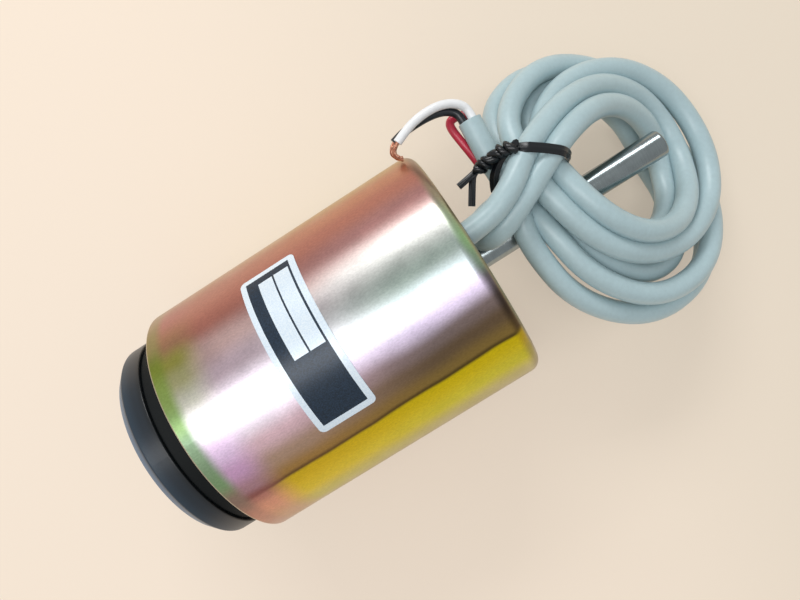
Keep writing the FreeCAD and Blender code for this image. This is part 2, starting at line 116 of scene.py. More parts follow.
def start_material(name, values):
    """Make a material with one shader. Return it with its tree, shader and place on the object."""
    material = bpy.data.materials.new(name)
    material.use_nodes = True
    tree = material.node_tree
    tree.nodes.clear()
    shader = add(tree, "ShaderNodeBsdfPrincipled", values)
    add(tree, "ShaderNodeOutputMaterial", links={"Surface": shader.outputs["BSDF"]})
    place = add(tree, "ShaderNodeTexCoord").outputs["Object"]
    return material, tree, shader, place


def set_ramp(node, stops, smooth="EASE"):
    """Fill a colour ramp with (place, web colour) stops, and return its colour."""
    ramp = node.color_ramp
    ramp.interpolation = smooth
    while len(ramp.elements) < len(stops):
        ramp.elements.new(1.0)
    for element, (place, web_colour) in zip(ramp.elements, stops):
        element.position = place
        element.color = linear(web_colour)
    return node.outputs["Color"]


def shaded(tree, web_colour, pattern, pattern_range, shade_range):
    """Return a web colour that a pattern makes darker and lighter."""
    shade = add(tree, "ShaderNodeMapRange", {
        "From Min": pattern_range[0], "From Max": pattern_range[1],
        "To Min": shade_range[0], "To Max": shade_range[1]}, {"Value": pattern})
    tone = add(tree, "ShaderNodeVectorMath", {0: linear(web_colour)[:3]}, {3: shade.outputs[0]},
               operation="SCALE", name="tone")
    return tone.outputs[0]


def set_surface(tree, shader, colour, height, strength, depth_mm):
    """Give a shader its colour, and a fine relief from a height."""
    relief = add(tree, "ShaderNodeBump", {"Strength": strength, "Distance": depth_mm * MM},
                 {"Height": height})
    tree.links.new(colour, shader.inputs["Base Color"])
    tree.links.new(relief.outputs[0], shader.inputs["Normal"])


def wear(material, *part_names):
    """Give solid parts a material in every slot."""
    for part_name in part_names:
        for material_slot in nodes[part_name].material_slots:
            material_slot.material = material


print("material helpers ready")

# %% [markdown]
# The case is drawn from steel sheet and zinc plated, and the plating is passivated in chromate.
# The chromate film is thinner than a wavelength of light, so it shows interference colours:
# straw, rose, lilac, olive and a strong yellow, in bands that run along the case because the
# film grew evenly round it.
# A thin film shader could work such colours out, but nobody could then say which tone lies where.
# So the angle round the case picks a tone from a ramp. The ramps hold painted light as well:
# near-white painted highlights near the top, painted reflection of the room in darker bands on
# the sides, and a sharp dark painted reflection of the table's edge.

# %% Angle round the case
WAVER_MM = 26.3
SWAY_RADIANS = 0.05
RAMP_DEGREES = 90
plate, tree, shader, place = start_material("zinc plate with yellow chromate", {"Metallic": 0.86})
axes = add(tree, "ShaderNodeSeparateXYZ", links={0: place}).outputs
girth = add(tree, "ShaderNodeMath", operation="ARCTAN2", links={0: axes["Y"], 1: axes["Z"]})

# The bands waver by a few degrees, as a film that grew in a moving bath does.
waver = add(tree, "ShaderNodeTexNoise", {"Scale": 1 / (WAVER_MM * MM), "Detail": 2.0, "Roughness": 0.5},
            {"Vector": place})
sway = add(tree, "ShaderNodeMapRange", {"To Min": -SWAY_RADIANS, "To Max": SWAY_RADIANS},
           {"Value": waver.outputs["Fac"]})
wavering = add(tree, "ShaderNodeMath", operation="ADD", links={0: girth.outputs[0], 1: sway.outputs[0]})
across = add(tree, "ShaderNodeMapRange", {"From Min": -math.radians(RAMP_DEGREES),
             "From Max": math.radians(RAMP_DEGREES)}, {"Value": wavering.outputs[0]})
print("bands waver by degrees:", round(math.degrees(SWAY_RADIANS), 1))

# %% [markdown]
# The film is thicker towards the rear, and the painted highlights and reflections change from
# front to rear as well, so the bands change along the case.
# Each stretch has its own ramp, and one function lays it over the stretch before. It is told
# where the new film begins and where it is whole, in millimetres from the front face.

# %% Films along the case
def lay_film_and_reflection(under, tones, begins, whole, strength=1.0, change="SMOOTHSTEP"):
    """Lay a film with its painted reflections over another. Its tones are (degrees from the top, web colour)
    stops, or one colour.
    """
    share = add(tree, "ShaderNodeMapRange", {"From Min": begins * MM, "From Max": whole * MM,
                "To Max": strength}, {"Value": axes["X"]}, interpolation_type=change)
    film = add(tree, "ShaderNodeMix", links={"Factor": share.outputs[0], 6: under}, data_type="RGBA")
    if isinstance(tones, str):
        film.inputs[7].default_value = linear(tones)
    else:
        tree.links.new(tones_round(tones), film.inputs[7])
    return film.outputs[2]


def tones_round(stops):
    """Return the tones round the case from (degrees from the top, web colour) stops."""
    ramp = add(tree, "ShaderNodeValToRGB", links={"Fac": across.outputs[0]})
    return set_ramp(ramp, [((degrees + RAMP_DEGREES) / (2 * RAMP_DEGREES), web_colour)
                           for degrees, web_colour in stops])


# Near-white stops near the top are painted highlight, the dark stop at -35 degrees is a painted reflection of
# the table's edge, and the darker browns and greys below the top are painted reflection of the room.
rear = tones_round([
    (-85, "#BDA98C"), (-62, "#CEC464"), (-50, "#DEC830"), (-36.5, "#ECC828"), (-35, "#7A5A34"),
    (-33, "#BC9050"), (-24, "#CCA890"), (-15, "#F8D0D8"), (-6, "#FAECF8"), (8, "#F4E8F4"), (18, "#C6B0BA"),
    (30, "#C6A6A2"), (42, "#B07468"), (58, "#BC8678"), (80, "#C4A284"), (89, "#B8AC68")])
tones = lay_film_and_reflection(rear, [
    (-85, "#B5A184"), (-62, "#C6BC78"), (-50, "#D2CC32"), (-36.5, "#ECD210"), (-35, "#5C4A22"),
    (-33, "#9A7E42"), (-24, "#78624A"), (-17, "#8E7C78"), (-9, "#EADAF4"), (0, "#C4D0D4"), (10, "#98A69E"),
    (22, "#C8C8C4"), (38, "#B2827E"), (50, "#B67C6E"), (61, "#C48C70"), (74, "#C8A472"), (89, "#A8A452")],
    begins=-68, whole=-18)
# The last centimetre has a thicker film still: violet, salmon and olive, with a near-white painted highlight
# near the top.
tones = lay_film_and_reflection(tones, [
    (-85, "#C8B090"), (-60, "#CEA686"), (-42, "#E4A48A"), (-37, "#D08E7E"), (-35, "#A86A62"),
    (-30, "#C898A0"), (-20, "#EAB8E0"), (-10, "#FADCFC"), (6, "#FBF6FB"), (15, "#D4D2C2"), (25, "#B4B080"),
    (33, "#9E9A4C"), (44, "#A47C60"), (60, "#BA8278"), (82, "#C2A48C")], begins=-69, whole=-78)
# Near the rear rim the film turns green, painted darker at the top as shade that holds down the lamp's
# highlight there, and the trimmed edge itself is pale.
tones = lay_film_and_reflection(tones, [
    (-75, "#C8A490"), (-45, "#C49280"), (-32, "#A88C7A"), (-22, "#8EB47C"), (-10, "#8AAA80"), (0, "#72906C"),
    (9, "#8EB26C"), (20, "#98B25E"), (35, "#88963C"), (48, "#9A9060"), (75, "#B09878")],
    begins=-80.2, whole=-83.6, strength=0.95)
tones = lay_film_and_reflection(tones, "#D9C9B0", begins=-85.5, whole=-85.8, change="LINEAR")
# At the front shoulder the film is green near the top, lightened there by a painted highlight, and a dark
# brown painted reflection of the room lies lower down.
tones = lay_film_and_reflection(tones, [
    (-80, "#A8967C"), (-50, "#A89A50"), (-37, "#B89C1C"), (-33, "#4A3824"), (-20, "#342820"), (-8, "#4C443E"),
    (0, "#8CA884"), (10, "#A6D094"), (22, "#A8BE94"), (34, "#9C9880"), (50, "#8E7460"), (80, "#A08468")],
    begins=-3.6, whole=-1.4, strength=0.85)
# The flat face is one straw tone: it stood level in the bath.
tones = lay_film_and_reflection(tones, "#B09E76", begins=-1.1, whole=-0.2)
print("nodes for the films:", len(tree.nodes))

# %% [markdown]
# Drawn and plated steel isn't smooth: it has a fine grain of about half a millimetre, a little
# streaky along the draw, that breaks up the light.
# One noise shades the tone and lifts the surface, and a coarser one varies the gloss.

# %% Grain and wear of the case
GRAIN_MM = 0.4
DRAW_STRETCH = 0.55
BLOTCH_MM = 6.25
stretch = add(tree, "ShaderNodeMapping", {"Scale": (DRAW_STRETCH, 1.0, 1.0)}, {"Vector": place})
grain = add(tree, "ShaderNodeTexNoise", {"Scale": 1 / (GRAIN_MM * MM), "Detail": 3.0, "Roughness": 0.65},
            {"Vector": stretch.outputs[0]}).outputs["Fac"]
shade = add(tree, "ShaderNodeMapRange", {"From Min": 0.3, "From Max": 0.7, "To Min": 0.88, "To Max": 1.1},
            {"Value": grain})
grained = add(tree, "ShaderNodeVectorMath", operation="SCALE", links={0: tones, 3: shade.outputs[0]})
blotch = add(tree, "ShaderNodeTexNoise", {"Scale": 1 / (BLOTCH_MM * MM), "Detail": 3.0}, {"Vector": place})
polish = add(tree, "ShaderNodeMapRange", {"From Min": 0.3, "From Max": 0.7, "To Min": 0.3, "To Max": 0.4},
             {"Value": blotch.outputs["Fac"]})
tree.links.new(polish.outputs[0], shader.inputs["Roughness"])
set_surface(tree, shader, grained.outputs[0], grain, 0.35, depth_mm=0.03)
wear(plate, "case_can")
print("case finished")

# %% [markdown]
# The rating label is a metallised polyester film with a dark lacquer, bent round the case.
# Its border and two windows are left silver, and the rest is a dark lacquer.
# The fields could be cut out as thin sheets of their own, but lacquer has no thickness to see.
# Every edge of the layout is a straight line along the case or round it, so two numbers are
# enough for a pattern: the place along the case and the length of arc round it.

# %% Finish of the rating label
LABEL_RADIUS = 35.2
FIBRE_MM = 0.35
# Each field: (name, lowest and highest place along the case, lowest and highest arc), in millimetres.
LABEL_FIELDS = [
    ("dark field", -54.3, -41.5, -14.2, 29.2),
    ("rear window", -51.0, -46.9, 3.4, 27.0),
    ("front window", -46.4, -42.1, 3.4, 27.0),
]
film, tree, shader, place = start_material("lacquered metallised polyester film", {
    "Metallic": 0.12, "Roughness": 0.3})
axes = add(tree, "ShaderNodeSeparateXYZ", links={0: place}).outputs
girth = add(tree, "ShaderNodeMath", operation="ARCTAN2", links={0: axes["Y"], 1: axes["Z"]})
arc = add(tree, "ShaderNodeMath", {1: LABEL_RADIUS * MM}, {0: girth.outputs[0]}, operation="MULTIPLY")


def within(coordinate, low, high):
    """Return 1 where a coordinate lies between two places in millimetres, and 0 elsewhere."""
    middle, reach = (low + high) / 2 * MM, (high - low) / 2 * MM
    return add(tree, "ShaderNodeMath", {1: middle, 2: reach}, {0: coordinate}, operation="COMPARE").outputs[0]


fields = {}
for field_name, x_low, x_high, arc_low, arc_high in LABEL_FIELDS:
    sides = {0: within(axes["X"], x_low, x_high), 1: within(arc.outputs[0], arc_low, arc_high)}
    fields[field_name] = add(tree, "ShaderNodeMath", operation="MULTIPLY", links=sides).outputs[0]
windows = add(tree, "ShaderNodeMath", operation="ADD",
              links={0: fields["rear window"], 1: fields["front window"]})
lacquer = add(tree, "ShaderNodeMath", operation="SUBTRACT", use_clamp=True,
              links={0: fields["dark field"], 1: windows.outputs[0]})
fibre = add(tree, "ShaderNodeTexNoise", {"Scale": 1 / (FIBRE_MM * MM), "Detail": 2.0},
            {"Vector": place}).outputs["Fac"]
silver = set_ramp(add(tree, "ShaderNodeValToRGB", links={"Fac": fibre}),
                  [(0.35, "#D6E6F4"), (0.65, "#E8F3FA")], "LINEAR")
dark = set_ramp(add(tree, "ShaderNodeValToRGB", links={"Fac": fibre}),
                [(0.35, "#14222F"), (0.65, "#23364A")], "LINEAR")
layout = add(tree, "ShaderNodeMix", links={"Factor": lacquer.outputs[0], 6: silver, 7: dark},
             data_type="RGBA")
set_surface(tree, shader, layout.outputs[2], fibre, 0.1, depth_mm=0.02)
wear(film, "rating_label")
print("label fields:", len(fields))

# %% [markdown]
# The turned steel and brass parts share one way of being made: a lathe tool leaves rings.
# Rings cut as geometry would take thousands of faces, so they are a relief in the material.
# On a part whose axis is the object's long axis the rings are a wave along that axis on the
# sides, and a wave outwards from the axis on the faces. One distance serves both: the sum of
# the place along the axis and the distance from it.

# %% A turned metal
OIL_FILM_MM = 3.85


def turned_metal(name, web_colour, roughness, ring_mm, depth=0.25):
    """Make a metal with fine turning rings about the long axis."""
    metal, tree, shader, place = start_material(name, {"Metallic": 1.0, "Roughness": roughness})
    axes = add(tree, "ShaderNodeSeparateXYZ", links={0: place}).outputs
    flat = add(tree, "ShaderNodeCombineXYZ", links={"Y": axes["Y"], "Z": axes["Z"]})
    outward = add(tree, "ShaderNodeVectorMath", operation="LENGTH", links={0: flat.outputs[0]})
    reach = add(tree, "ShaderNodeMath", operation="ADD", links={0: axes["X"], 1: outward.outputs["Value"]})
    rings = add(tree, "ShaderNodeTexNoise", {"Scale": 1 / (ring_mm * MM), "Detail": 2.0},
                {"W": reach.outputs[0]}, noise_dimensions="1D").outputs["Fac"]
    cloud = add(tree, "ShaderNodeTexNoise", {"Scale": 1 / (OIL_FILM_MM * MM), "Detail": 3.0},
                {"Vector": place})
    both = add(tree, "ShaderNodeMath", {1: 0.5}, {0: rings, 2: cloud.outputs["Fac"]},
               operation="MULTIPLY_ADD")
    tone = shaded(tree, web_colour, both.outputs[0], (0.5, 1.0), (0.84, 1.08))
    set_surface(tree, shader, tone, rings, depth, depth_mm=0.02)
    return metal


print("turned metal ready")

# %% [markdown]
# The push rod is centreless ground steel: bright, with rings too fine to see one by one.
# The poles and the plunger are soft magnetic steel, turned and lightly oiled.
# The bushes are sintered bronze, which is duller and browner than brass.
# The cap's screw and washer have a black oxide finish, which stops rust without adding thickness.

# %% Finish of the metal parts
wear(turned_metal("ground steel", "#98A2A4", 0.22, 0.25, 0.12), "push_rod")
wear(turned_metal("turned soft magnetic steel", "#9EA2A4", 0.34, 0.4), "front_pole", "rear_plate", "plunger")
wear(turned_metal("sintered bronze", "#A8805A", 0.5, 0.5), "front_bush", "rear_bush")
wear(turned_metal("drawn brass", "#C9A860", 0.3, 0.5), "stop_shim", "guide_tube")
wear(turned_metal("spring steel", "#A8ACB0", 0.28, 0.3), "rod_pin")
wear(turned_metal("black oxide steel", "#4A4C50", 0.36, 0.35), "cap_screw", "cap_washer")
print("metals finished")

# %% [markdown]
# Moulded parts get their look from the mould: an even colour with a fine matt grain.
# Rubber is dull and slightly dusty, nylon is waxy, and PVC jacket has a soft gloss.
# The grain is drawn a little coarser than the real one, because a real one of 0.05 mm can't
# be seen at this distance.

# %% A moulded plastic or rubber
CLOUD_MM = 11.1


def moulded(name, web_colour, roughness, grain_mm, depth=0.2, contrast=0.08):
    """Make a plastic or rubber with a fine moulded grain."""
    plastic, tree, shader, place = start_material(name, {"Roughness": roughness, "IOR": 1.5})
    grain = add(tree, "ShaderNodeTexNoise", {"Scale": 1 / (grain_mm * MM), "Detail": 3.0},
                {"Vector": place}).outputs["Fac"]
    cloud = add(tree, "ShaderNodeTexNoise", {"Scale": 1 / (CLOUD_MM * MM), "Detail": 2.0}, {"Vector": place})
    both = add(tree, "ShaderNodeMath", operation="ADD", links={0: grain, 1: cloud.outputs["Fac"]})
    tone = shaded(tree, web_colour, both.outputs[0], (0.7, 1.3), (1 - contrast, 1 + contrast))
    set_surface(tree, shader, tone, grain, depth, depth_mm=0.04)
    return plastic


print("moulded plastic ready")

# %% [markdown]
# The ring behind the case and the bush round the lead are black rubber, which throws back less
# light than a hard plastic, so its specular level is lower.
# The cap is a satin plastic. A ramp along the axis paints light on it: shade darker next to the case,
# and a lighter, bluer painted highlight on the bevel at its rear edge. A second material could be
# given to the bevel's faces, but a ramp along the axis does it with one and follows the rounding.

# %% Finish of the moulded parts
CAP_FRONT, CAP_REAR = -92.2, -100.8
black_rubber = moulded("black nitrile rubber", "#0E1213", 0.66, 0.4, 0.4, 0.2)
black_rubber.node_tree.nodes["Principled BSDF"].inputs["Specular IOR Level"].default_value = 0.22
wear(black_rubber, "cushion_ring", "lead_grommet")
slate = moulded("slate-black moulded plastic, satin", "#2E3A46", 0.36, 0.5, 0.1, 0.05)
tree = slate.node_tree
split = add(tree, "ShaderNodeSeparateXYZ", links={0: tree.nodes["Texture Coordinate"].outputs["Object"]})
depth_in = add(tree, "ShaderNodeMapRange", {"From Min": CAP_FRONT * MM, "From Max": CAP_REAR * MM},
               {"Value": split.outputs["X"]})
# The cap's ramp is painted light: dark painted shade by the case, and a painted highlight on the bevel.
cap_shade_and_highlight = set_ramp(add(tree, "ShaderNodeValToRGB", links={"Fac": depth_in.outputs[0]}), [
    (0.0, "#14191D"), (0.25, "#1C252E"), (0.68, "#283744"), (0.8, "#4C657E"), (0.98, "#587490"),
    (1.0, "#28323A")])
tree.links.new(cap_shade_and_highlight, tree.nodes["tone"].inputs[0])
wear(slate, "rear_cap")
wear(moulded("natural nylon", "#D8CFB4", 0.42, 0.5), "bobbin")
wear(moulded("heat shrink sleeve", "#26282A", 0.5, 0.3), "splice_sleeves")
wear(moulded("yellow polyester tape", "#C9A53A", 0.3, 0.6), "winding_tape")
wear(moulded("core insulation inside the case", "#C9C4BC", 0.35, 0.4), "inner_cores")
print("moulded parts finished")

# %% [markdown]
# The winding is enamelled copper wire of about 0.4 mm, laid turn beside turn.
# Thousands of real turns would be a heavy mesh that nobody sees, so a wave along the long axis
# gives each wire its round back.

# %% Finish of the winding
WIRE_PITCH = 0.45
enamel, tree, shader, place = start_material("enamelled copper wire", {
    "Base Color": linear("#A4552B"), "Metallic": 0.85, "Roughness": 0.3})
# Blender's band texture is a sine of twenty times its scale times the distance.
bands = add(tree, "ShaderNodeTexWave", {"Scale": math.pi / (10 * WIRE_PITCH * MM)}, {"Vector": place},
            wave_type="BANDS", bands_direction="X")
relief = add(tree, "ShaderNodeBump", {"Strength": 0.8, "Distance": 0.1 * MM},
             {"Height": bands.outputs["Fac"]})
tree.links.new(relief.outputs[0], shader.inputs["Normal"])
wear(enamel, "winding")
print("winding finished")

# %% [markdown]
# The cable is a round grey PVC lead, 6.5 mm thick.
# It comes out of the front face, runs into a loose coil of six turns and ends cut off.
# A real cable has one length and bends smoothly, so it is one curve with one spline, where
# rings placed side by side would look like a spring.
# The straight stretches are listed points.
# The coil is a list of keys: how far round the cable has run, how far out it is and how high.
# A small upright loop by the case's face brings the cable from its third turn to its fourth.

# %% Keys of the coil
CABLE_RADIUS = 3.25
COIL_CENTRE = (55.0, -2.0)
STEP_DEGREES = 30.0
LEAD_POINTS = [(-5.5, 7.007, 20.009), (6.5, 7.007, 20.009), (16.4, 11.2, 20.3)]
TAIL_POINTS = [(16.4, 6.0, 9.4), (16.9, 13.5, 10.2), (16.7, 21.6, 10.6), (17.6, 32.4, 10.6)]
LOOP_POINTS = [(20.5, 6.8, 3.0), (14.5, 9.5, 0.0), (7.5, 8.7, 1.2), (3.6, 6.4, 5.8), (3.6, 3.6, 11.5),
               (7.9, 2.4, 15.8)]
TURNS_BEFORE_LOOP = 3

# One list for each turn: (degrees from +X, distance from the centre, height), in millimetres.
# The cable runs clockwise as seen from above, so the degrees fall.
COIL_TURNS = [
    [(150, 36.0, 19.5), (133, 31.0, 13.5), (120, 28.5, 6.0), (90, 26.0, -7.5), (60, 22.0, -18.5),
     (30, 18.0, -21.5), (0, 15.5, -21.7), (-30, 14.8, -20.3), (-60, 17.0, -14.5), (-90, 20.0, -6.5),
     (-120, 20.7, 1.5), (-150, 20.8, 9.0), (-180, 22.0, 14.2), (-200, 25.0, 11.0), (-215, 30.0, 9.0)],
    [(130, 31.4, 5.2), (100, 32.4, -6.7), (90, 31.4, -9.5), (60, 28.7, -19.5), (30, 25.5, -25.2),
     (0, 23.2, -25.5), (-30, 23.6, -25.2), (-60, 25.0, -17.0), (-90, 25.2, -8.0),
     (-120, 25.6, 3.2), (-150, 26.5, 11.0), (-180, 28.2, 14.4), (-195, 30.5, 12.5), (-212, 35.0, 10.0)],
    [(133, 41.8, 8.6), (103, 41.8, -0.6), (73, 31.8, -21.0), (60, 25.0, -28.5), (37, 19.5, -31.7),
     (13, 17.0, -31.7), (-11, 17.0, -31.7), (-35, 21.0, -30.0), (-55, 28.5, -25.5), (-80, 36.0, -13.0),
     (-105, 39.3, -1.0), (-120, 39.4, 4.5), (-135, 38.5, 8.0), (-150, 36.0, 9.5), (-180, 32.6, 9.5)],
    [(167, 38.0, 17.5), (142, 27.0, 16.3), (118, 22.0, 3.0), (95, 19.6, -6.5), (70, 15.8, -12.0),
     (46, 13.0, -15.0), (0, 9.2, -16.5), (-39, 9.3, -16.3), (-75, 14.2, -14.0), (-100, 20.0, -9.5),
     (-125, 22.8, -3.5), (-150, 23.5, 2.5), (-180, 22.8, 7.2), (-200, 25.5, 2.0), (-220, 31.0, 0.0)],
    [(125, 36.6, -1.0), (95, 36.6, -12.5), (65, 16.0, -23.0), (60, 13.0, -24.0), (30, 8.5, -26.0),
     (0, 7.2, -27.5), (-30, 8.5, -28.5), (-60, 13.5, -28.5), (-75, 22.5, -27.5), (-90, 31.5, -20.0),
     (-105, 33.5, -8.7), (-120, 32.8, -2.0), (-150, 30.0, 5.0), (-180, 28.0, 6.8), (-195, 31.0, 3.0),
     (-212, 37.5, 2.0)],
    [(133, 46.4, 4.6), (103, 45.0, -13.6), (73, 26.5, -26.5), (60, 18.5, -30.4), (30, 13.0, -31.7),
     (0, 12.5, -31.7), (-30, 17.5, -31.7), (-60, 31.0, -30.5), (-75, 37.5, -23.0), (-90, 41.0, -14.0),
     (-105, 43.8, -5.5), (-120, 45.2, 2.0), (-135, 45.4, 6.4), (-150, 44.2, 8.0), (-165, 42.0, 7.6),
     (-180, 39.4, 7.6)],
]
print("turns in the coil:", len(COIL_TURNS))

# %% [markdown]
# A smooth spline passes inside its points, because each place on it is a mean of three of them.
# On a circle the spline comes to a known share of the points' distance, so the points are put
# that much further out, and the cable then runs where the keys say.

# %% Work out the cable's points
SPLINE_SHARE = (3 + math.cos(math.radians(STEP_DEGREES))) / 4


def turn_points(keys):
    """Return evenly spaced points along one turn, from its keys."""
    start, end = -keys[0][0], -keys[-1][0]
    count = round((end - start) / STEP_DEGREES)
    at = np.linspace(start, end, count + 1)
    along_turn = [-key[0] for key in keys]
    far = np.interp(at, along_turn, [key[1] for key in keys]) / SPLINE_SHARE
    high = np.interp(at, along_turn, [key[2] for key in keys])
    around = np.radians(-at)
    middle_x, middle_y = COIL_CENTRE
    return np.stack([middle_x + far * np.cos(around), middle_y + far * np.sin(around), high], axis=1)


cable_points = [np.array(LEAD_POINTS)]
for number, keys in enumerate(COIL_TURNS):
    if number == TURNS_BEFORE_LOOP:
        cable_points.append(np.array(LOOP_POINTS))
    cable_points.append(turn_points(keys))
cable_points.append(np.array(TAIL_POINTS))
cable_points = np.concatenate(cable_points)
print("points of the cable:", len(cable_points))

# %% [markdown]
# The given keys put some turns a little into each other.
# Real turns push each other apart until they touch, so the points are settled the same way.
# A cloth or rope simulation could do it too, but it would drop the coil on the table, and this
# one has to keep the lay that the picture shows.
# The line is looked at in many places. Where two places are nearer than a diameter, both step
# back, and the places also stay off the push rod, the table and the case's face.
# Each point is drawn back towards its key, so the coil keeps its lay, and a slight stiffness
# keeps the bends soft. The lead and the cut end are held still.

# %% Weigh the points
PLACES = 6

# Each row of the weights turns the points into one place on the spline.
inner = len(cable_points) - 2
weights = np.zeros((inner * PLACES, len(cable_points)))
for span in range(inner):
    for place_number in range(PLACES):
        t = place_number / PLACES
        row = weights[span * PLACES + place_number]
        row[span:span + 3] = ((1 - t) ** 2 / 2, (1 + 2 * t * (1 - t)) / 2, t ** 2 / 2)
share = weights.sum(axis=0)[:, None]
held = np.zeros(len(cable_points), bool)
held[:len(LEAD_POINTS)] = True
held[-len(TAIL_POINTS):] = True
order = np.arange(len(weights))
steps_apart = np.abs(order[:, None] - order[None])
print("places on the spline:", len(weights))

# %% Settle the turns
# All distances are in millimetres.
TOUCHING = 6.55
SAME_BEND = 14
FLOOR_HEIGHT = -35.0
FLOOR_GAP = 0.05
FACE_RADIUS = 35
FACE_GAP = 0.25
ROD_CLEARANCE = 7.5
ROD_END = 61.0
LEAD_PLACES = 40
PULL_TO_KEYS = (0.3, 0.3, 0.01)
STIFFNESS = 0.1
ROUNDS = 160
TINY = 1e-9

in_coil = order > LEAD_PLACES
settled = cable_points.copy()
for _ in range(ROUNDS):
    line = weights @ settled
    spacing = np.linalg.norm(np.diff(line, axis=0), axis=1).mean()
    # Places that come too near each other step apart, unless they belong to the same bend.
    gap = line[:, None] - line[None]
    distance = np.linalg.norm(gap, axis=2) + TINY
    close = (distance < TOUCHING) & (steps_apart > math.ceil(SAME_BEND / spacing))
    move = (np.where(close, (TOUCHING - distance) / 2 / distance, 0.0)[:, :, None] * gap).sum(axis=1)
    move /= np.sqrt(np.maximum(close.sum(axis=1), 1))[:, None]
    # Places stay off the push rod, the table and the case's face.
    from_rod = np.hypot(line[:, 1], line[:, 2]) + TINY
    over_rod = (line[:, 0] > 0) & (line[:, 0] < ROD_END)
    lift = np.where(over_rod, np.maximum(ROD_CLEARANCE - from_rod, 0), 0) / from_rod
    move[:, 1:] += lift[:, None] * line[:, 1:]
    move[:, 2] += np.maximum(FLOOR_HEIGHT + CABLE_RADIUS + FLOOR_GAP - line[:, 2], 0)
    at_face = in_coil & (from_rod < FACE_RADIUS) & (line[:, 0] < CABLE_RADIUS + FACE_GAP)
    move[:, 0] += np.where(at_face, CABLE_RADIUS + FACE_GAP - line[:, 0], 0)
    # The points follow their places, and are drawn back towards their keys.
    step = weights.T @ move / share
    back = (cable_points - settled - step) * PULL_TO_KEYS
    settled[~held] += (step + back)[~held]
    # A change of bend from one point to the next is evened out a little.
    bend = np.zeros_like(settled)
    bend[1:-1] = (settled[:-2] + settled[2:]) / 2 - settled[1:-1]
    kink = np.zeros_like(settled)
    kink[1:-1] = bend[1:-1] - (bend[:-2] + bend[2:]) / 2
    settled[~held] += STIFFNESS * kink[~held]
print("turns settled, points moved by up to mm:", round(float(np.abs(settled - cable_points).max()), 1))

# %% [markdown]
# A NURBS curve of order 3 turns each corner of its points into a smooth bend.
# Its bevel gives the round section, so the cable stays a single soft line with a real thickness.
# A mesh tube would look the same, but its length could no longer be read from one line.

# %% Make the cable
def soft_tube(name, points, radius, sides=10):
    """Make a round tube along a smooth spline through the neighbourhood of the points."""
    curve = bpy.data.curves.new(name, "CURVE")
    curve.dimensions = "3D"
    curve.bevel_depth = 1.0
    curve.bevel_resolution = sides
    curve.resolution_u = 8
    curve.use_fill_caps = True
    spline = curve.splines.new("NURBS")
    spline.points.add(len(points) - 1)
    for spline_point, point in zip(spline.points, points):
        spline_point.co = (*(float(value) * MM for value in point), 1.0)
        # The tube's radius is kept on its points, so that the object's box is measured with it.
        spline_point.radius = radius * MM
    spline.order_u = 3
    spline.use_endpoint_u = True
    return make_object(name, curve)


def line_of(curve_data):
    """Return the places along a curve's own line, in metres."""
    bare = bpy.data.objects.new("bare", curve_data.copy())
    bare.data.bevel_depth = 0
    mesh = bpy.data.meshes.new_from_object(bare)
    line = np.array([vertex.co for vertex in mesh.vertices])
    bpy.data.meshes.remove(mesh)
    bpy.data.curves.remove(bare.data)
    return line


cable = soft_tube("cable", settled, CABLE_RADIUS)
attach(cable, "housing")
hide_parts("cable_lead", "cable_coil", "cable_tail")
cable_line = line_of(cable.data)

# %% [markdown]
# The jacket is extruded soft PVC in a pale blue grey, with a dull skin.
# Extrusion leaves a slight ripple and a silky gloss, and handling leaves faint cloudy marks.
# An image of them would have to be wrapped along the whole length, so the same noise in space
# that serves the moulded parts makes them, with a coarser grain.

# %% Finish of the cable
jacket = moulded("extruded grey PVC jacket", "#ADC4C9", 0.33, 1.1, 0.1, 0.05)
cable.data.materials.append(jacket)
print("cable finished")

# %% [markdown]
# Where the cable leaves the case's face a black rubber bush lines the hole.
# In the picture the case's rim hides it, so it can stand hardly proud of the face.
# The Spin tool could turn its section, but it leaves a seam to merge. Here the section is turned
# in a loop whose last side joins the first, with a groove for the case's wall.

# %% Make the lead bush
LEAD_EXIT = (0.0, 7.007, 20.009)
BUSH_SIDES = 48
# The section: (place along the axis, distance from it), in millimetres.
BUSH_SECTION = [
    (-3.5, 3.3), (-3.6, 5.0), (-3.2, 5.6), (-2.2, 5.7), (-1.9, 5.4), (-1.9, 4.9), (-0.1, 4.9), (-0.1, 5.5),
    (0.15, 5.7), (0.35, 5.3), (0.45, 4.4), (0.3, 3.6), (0.0, 3.3)]


def mesh_piece(name, vertices, faces, material):
    """Make a smooth mesh piece from vertices in millimetres."""
    mesh = bpy.data.meshes.new(name)
    mesh.from_pydata([tuple(value * MM for value in vertex) for vertex in vertices], [], faces)
    mesh.shade_smooth()
    mesh.materials.append(material)
    return make_object(name, mesh)


count = len(BUSH_SECTION)
vertices, faces = [], []
for side, angle in enumerate(np.linspace(0, 2 * math.pi, BUSH_SIDES, endpoint=False)):
    start, next_start = side * count, (side + 1) % BUSH_SIDES * count
    for k, (x, out) in enumerate(BUSH_SECTION):
        turned = (x, out * math.cos(angle), out * math.sin(angle))
        vertices.append(tuple(middle + reach for middle, reach in zip(LEAD_EXIT, turned)))
        after = (k + 1) % count
        faces.append((start + k, start + after, next_start + after, next_start + k))
lead_bush = mesh_piece("lead_bush", vertices, faces, black_rubber)
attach(lead_bush, "housing")
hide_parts("lead_grommet")
print("lead bush faces:", len(faces))

# %% [markdown]
# Three insulated cores leave the cut end of the jacket.
# The white one and the black one arch over to the case's shoulder, and the red one is folded
# back beside the cable. Their insulation is smooth and glossier than the jacket.
# They bend as the cable does, so the same function makes them, with a smaller radius.

